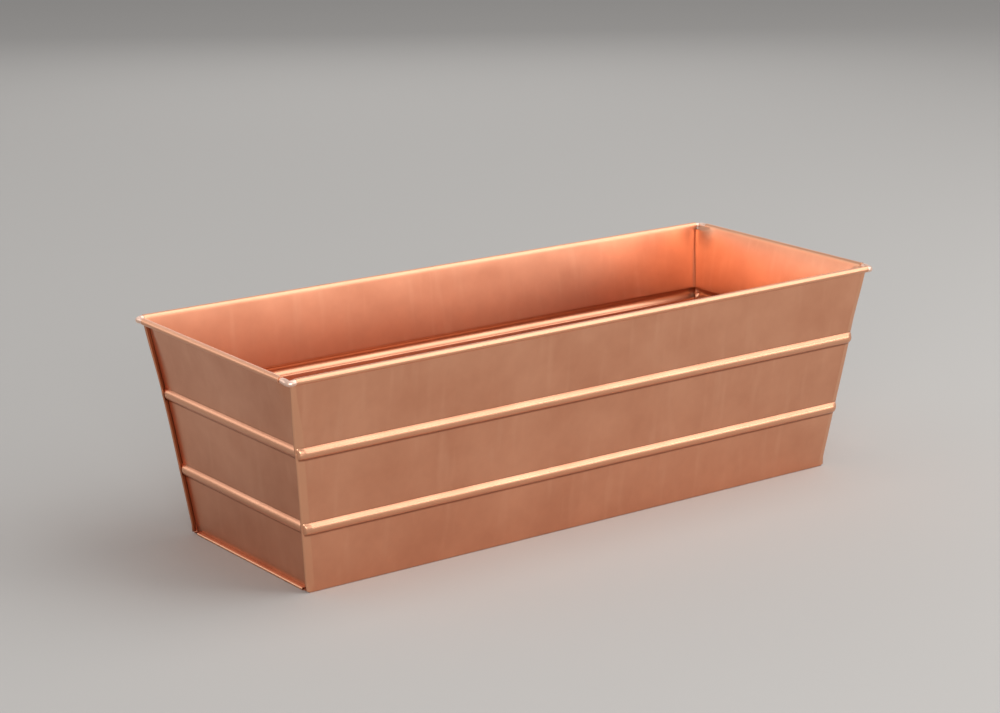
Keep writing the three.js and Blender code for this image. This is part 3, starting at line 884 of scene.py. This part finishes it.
def rack(made):
    """Pushes a finished piece a little out of square towards its rim, as handling has done to the box."""
    mesh = made.data
    flat = np.empty(len(mesh.vertices) * 3, np.float32)
    mesh.vertices.foreach_get("co", flat)
    points = flat.reshape(-1, 3).astype(float) / MM
    up = smooth((points[:, 2] - RACK_START) / (HEIGHT - RACK_START))
    across = points[:, 0] / WIRE_X
    deep = points[:, 1] / WIRE_Y
    lift = sum(
        value * (1 + side_x * across) / 2 * (1 + side_y * deep) / 2
        for (side_x, side_y), value in RACK_LIFT.items())
    points[:, 0] += up * (RACK_SHIFT + RACK_SKEW * (1 + deep) / 2)
    points[:, 2] += up * lift
    mesh.vertices.foreach_set("co", (points * MM).astype(np.float32).ravel())
    mesh.update()


# ---- The planter --------------------------------------------------------------------------------------

HALF_TURN = np.array([-1.0, -1.0, 1.0])  # turns the right end into the left end

copper = satin_copper()
bright_wire = plated_wire()

undrained = mesh_object("undrained sheet", *long_sheet())
body = shaped(undrained, drain_tree(copper), DRAIN_SIZES, "trough_sheet")
panel_vertices, panel_faces, panel_marks = end_panel()
right = mesh_object("end_right", panel_vertices, panel_faces, panel_marks)
left = mesh_object("end_left", panel_vertices * HALF_TURN, panel_faces, panel_marks)
wire = rim_wire(bright_wire)

for made, node, material, slot in (
    (body, "body_sheet", copper, "copper_plated_sheet"),
    (left, "left_end_panel", copper, "copper_plated_sheet"),
    (right, "right_end_panel", copper, "copper_plated_sheet"),
    (wire, "rim_wire", bright_wire, "copper_plated_wire"),
):
    made.data.materials.clear()
    made.data.materials.append(material)
    rack(made)
    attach(made, "root")
    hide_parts(node)

# ---- Stage --------------------------------------------------------------------------------------------

FLOOR_HALF = 20.0
LAMP_DISTANCE = 2.6
LAMP_TARGET = Vector((0.0, 0.0, 0.1))
# Name, size, azimuth from +X, elevation, and power in watts.
LAMPS = (
    ("key box, high on the right", (2.6, 2.4), -30, 50, 35.0),
    ("front panel", (2.6, 1.3), -70, 24, 8.0),
    ("low box, right of the camera", (1.4, 0.6), -52, 9, 9.0),
    ("box beside the camera", (1.4, 0.7), -127, 14, 22.0),
    ("box behind on the left", (1.4, 1.0), 136, 17, 5.0),
    ("box behind on the right", (1.6, 0.6), 58, 17, 3.5),
    ("rim light behind", (1.6, 0.7), 98, 30, 2.5),
    ("overhead box", (1.2, 1.2), 0, 86, 6.0),
)


def pale_floor():
    """A plain matt studio floor: it takes the shadow and has no gloss of its own."""
    material, tree = new_material("matt pale floor")
    matt = add_node(tree, "ShaderNodeBsdfDiffuse", {"Color": linear("#CBC8C4")})
    add_node(tree, "ShaderNodeOutputMaterial", {"Surface": matt.outputs["BSDF"]})
    return material


def floor_plane():
    mesh = bpy.data.meshes.new("floor")
    corners = [(-1, -1), (1, -1), (1, 1), (-1, 1)]
    mesh.from_pydata([(x * FLOOR_HALF, y * FLOOR_HALF, 0.0) for x, y in corners], [], [(0, 1, 2, 3)])
    mesh.materials.append(pale_floor())
    placed("floor", mesh)


def soft_box(name, size, azimuth, elevation, watts):
    """A lamp at LAMP_DISTANCE from the middle of the planter, facing it."""
    a, e = math.radians(azimuth), math.radians(elevation)
    towards = Vector((math.cos(e) * math.cos(a), math.cos(e) * math.sin(a), math.sin(e)))
    lamp = bpy.data.lights.new(name, "AREA")
    lamp.shape = "RECTANGLE"
    lamp.size, lamp.size_y = size
    lamp.energy = watts
    made = placed(name, lamp)
    made.location = LAMP_TARGET + towards * LAMP_DISTANCE
    made.rotation_mode = "QUATERNION"
    made.rotation_quaternion = (-towards).to_track_quat("-Z", "Y")


def studio_world():
    """A plain pale surround, brighter for the camera and in the metal than in the light that it gives."""
    world = bpy.data.worlds.new("studio")
    bpy.context.scene.world = world
    world.use_nodes = True
    tree = world.node_tree
    tree.nodes.clear()
    ray = add_node(tree, "ShaderNodeLightPath").outputs
    mirrored = add_node(tree, "ShaderNodeMath", {
        0: ray["Is Glossy Ray"], 1: ray["Is Transmission Ray"]}, operation="MAXIMUM")
    seen = add_node(tree, "ShaderNodeMath", {
        0: ray["Is Camera Ray"], 1: mirrored.outputs[0]}, operation="MAXIMUM")
    strength = add_node(tree, "ShaderNodeMapRange", {
        "Value": seen.outputs[0], "To Min": 0.4, "To Max": 0.75})
    pale = add_node(tree, "ShaderNodeBackground", {
        "Color": linear("#E4E4E6"), "Strength": strength.outputs["Result"]})
    add_node(tree, "ShaderNodeOutputWorld", {"Surface": pale.outputs["Background"]})


floor_plane()
studio_world()
for lamp_sizes in LAMPS:
    soft_box(*lamp_sizes)

# ---- Camera, at the photograph's angle ----------------------------------------------------------------

CAMERA_PLACE = Vector((-1.3264, -1.7719, 0.7403))
CAMERA_AZIMUTH, CAMERA_ELEVATION, CAMERA_ROLL = map(math.radians, (-36.385, 15.45, -0.123))
CAMERA_LENS, CAMERA_SENSOR = 95.71, 36.0


def photo_camera():
    """The camera that was solved from the box's own edges in the photograph."""
    camera = bpy.data.cameras.new("camera")
    camera.sensor_width = CAMERA_SENSOR
    camera.lens = CAMERA_LENS
    camera.clip_start, camera.clip_end = 0.05, 60.0
    a, e = CAMERA_AZIMUTH, CAMERA_ELEVATION
    back = Vector((math.sin(a) * math.cos(e), -math.cos(a) * math.cos(e), math.sin(e)))
    level = Vector((math.cos(a), math.sin(a), 0.0))
    upright = back.cross(level)
    right_axis = level * math.cos(CAMERA_ROLL) + upright * math.sin(CAMERA_ROLL)
    up_axis = upright * math.cos(CAMERA_ROLL) - level * math.sin(CAMERA_ROLL)
    turned = Matrix((right_axis, up_axis, back)).transposed().to_4x4()
    made = placed("camera", camera)
    made.matrix_world = Matrix.Translation(CAMERA_PLACE) @ turned
    bpy.context.scene.camera = made


photo_camera()
bpy.context.scene.view_settings.view_transform = "Standard"
